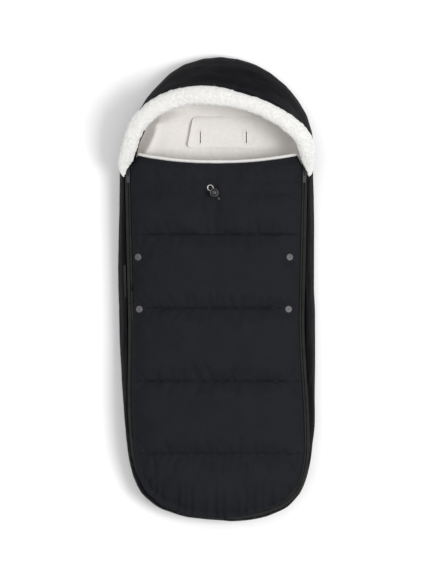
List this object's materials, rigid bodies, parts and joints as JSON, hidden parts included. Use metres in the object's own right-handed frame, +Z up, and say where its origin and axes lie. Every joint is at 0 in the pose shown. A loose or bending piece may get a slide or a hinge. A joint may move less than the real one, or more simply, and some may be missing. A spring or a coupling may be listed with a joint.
{
  "type": "stroller footmuff",
  "caption": "Padded fleece-lined footmuff for a pushchair, with a zipped fold-down cover, a fleece-cuffed hood with a cord lock, and harness slots through its back.",
  "frame": {"origin": "middle of the footprint, on the floor that the footmuff lies on", "axes": "+Y towards the hood, +Z up out of the cover, +X towards the right side seen from above with the hood at the top"},
  "size_m": [0.4289, 0.9999, 0.1643],
  "materials": {
    "cover_fabric": "water-repellent woven shell, matt charcoal",
    "shell_fabric": "water-repellent woven shell, near black",
    "wadding": "bonded fibre wadding, hidden",
    "fleece": "off-white pile fleece",
    "cuff_fleece": "white pile fleece",
    "zip_tape": "woven zip tape, dark",
    "zip_coil": "nylon coil, black",
    "zip_metal": "die-cast, painted black",
    "black_plastic": "moulded, satin black",
    "label": "woven label, bare",
    "nickel": "nickel plate",
    "cord": "braided elastic cord, black with a pale tip",
    "spring_steel": "spring wire"
  },
  "bodies": {
    "shell": {"back_panel": "shell_fabric", "back_wadding": "wadding", "back_lining": "fleece", "side_gusset_left": "shell_fabric", "side_gusset_right": "shell_fabric", "foot_gusset": "shell_fabric", "side_wadding": "wadding", "side_lining": "fleece", "hood_panel": "shell_fabric", "hood_wadding": "wadding", "hood_lining": "fleece", "fleece_cuff": "cuff_fleece", "slot_panel": "fleece", "slot_binding_shoulder_left": "fleece", "slot_binding_shoulder_right": "fleece", "slot_binding_waist_left": "fleece", "slot_binding_waist_right": "fleece", "slot_binding_crotch": "fleece", "label_tab": "label", "zip_tape_shell_left": "zip_tape", "zip_tape_shell_right": "zip_tape", "zip_coil_shell_left": "zip_coil", "zip_coil_shell_right": "zip_coil", "zip_tape_lower_left": "zip_tape", "zip_tape_lower_right": "zip_tape", "zip_coil_lower_left": "zip_coil", "zip_coil_lower_right": "zip_coil", "zip_bottom_stop": "zip_metal", "cover_fabric": "cover_fabric", "cover_wadding": "wadding", "cover_lining": "fleece", "snap_stud_lower_left": "black_plastic", "snap_stud_lower_right": "black_plastic", "snap_cap_lower_left": "black_plastic", "snap_cap_lower_right": "black_plastic"},
    "flap": {"flap_fabric": "cover_fabric", "flap_wadding": "wadding", "flap_lining": "fleece", "flap_edge_piping": "cuff_fleece", "zip_tape_flap_left": "zip_tape", "zip_tape_flap_right": "zip_tape", "zip_coil_flap_left": "zip_coil", "zip_coil_flap_right": "zip_coil", "snap_socket_upper_left": "black_plastic", "snap_socket_upper_right": "black_plastic", "snap_cap_upper_left": "black_plastic", "snap_cap_upper_right": "black_plastic", "eyelet": "nickel", "eyelet_washer": "nickel", "drawcord": "cord", "cord_end": "cord"},
    "slider_left": {"slider_left": "zip_metal"},
    "slider_right": {"slider_right": "zip_metal"},
    "pull_left": {"pull_tab_left": "black_plastic"},
    "pull_right": {"pull_tab_right": "black_plastic"},
    "cord_lock": {"cord_lock_barrel": "black_plastic", "cord_lock_spring": "spring_steel"},
    "lock_plunger": {"cord_lock_plunger": "black_plastic"}
  },
  "joints": [
    {"name": "flap_fold", "type": "hinge", "parent": "shell", "child": "flap", "pos_m": [0, 0.014, 0.0951], "axis": [1, 0, 0], "range_deg": [0, 165]},
    {"name": "slider_left_run", "type": "slide", "parent": "shell", "child": "slider_left", "axis": [0.023, -0.9997, 0], "range_m": [0, 0.262]},
    {"name": "slider_right_run", "type": "slide", "parent": "shell", "child": "slider_right", "axis": [-0.023, -0.9997, 0], "range_m": [0, 0.262]},
    {"name": "pull_left_swing", "type": "hinge", "parent": "slider_left", "child": "pull_left", "pos_m": [-0.19083, 0.252, 0.0797], "axis": [-0.9997, -0.023, 0], "range_deg": [0, 100]},
    {"name": "pull_right_swing", "type": "hinge", "parent": "slider_right", "child": "pull_right", "pos_m": [0.19083, 0.252, 0.0797], "axis": [-0.9997, 0.023, 0], "range_deg": [0, 100]},
    {"name": "cord_lock_slide", "type": "slide", "parent": "flap", "child": "cord_lock", "axis": [0.6157, -0.788, 0], "range_m": [0, 0.006]},
    {"name": "plunger_press", "type": "slide", "parent": "cord_lock", "child": "lock_plunger", "axis": [0, 0, -1], "range_m": [0, 0.0025], "stiffness_N_per_m": 800, "springref_m": -0.002, "deforming": ["cord_lock_spring"]}
  ]
}
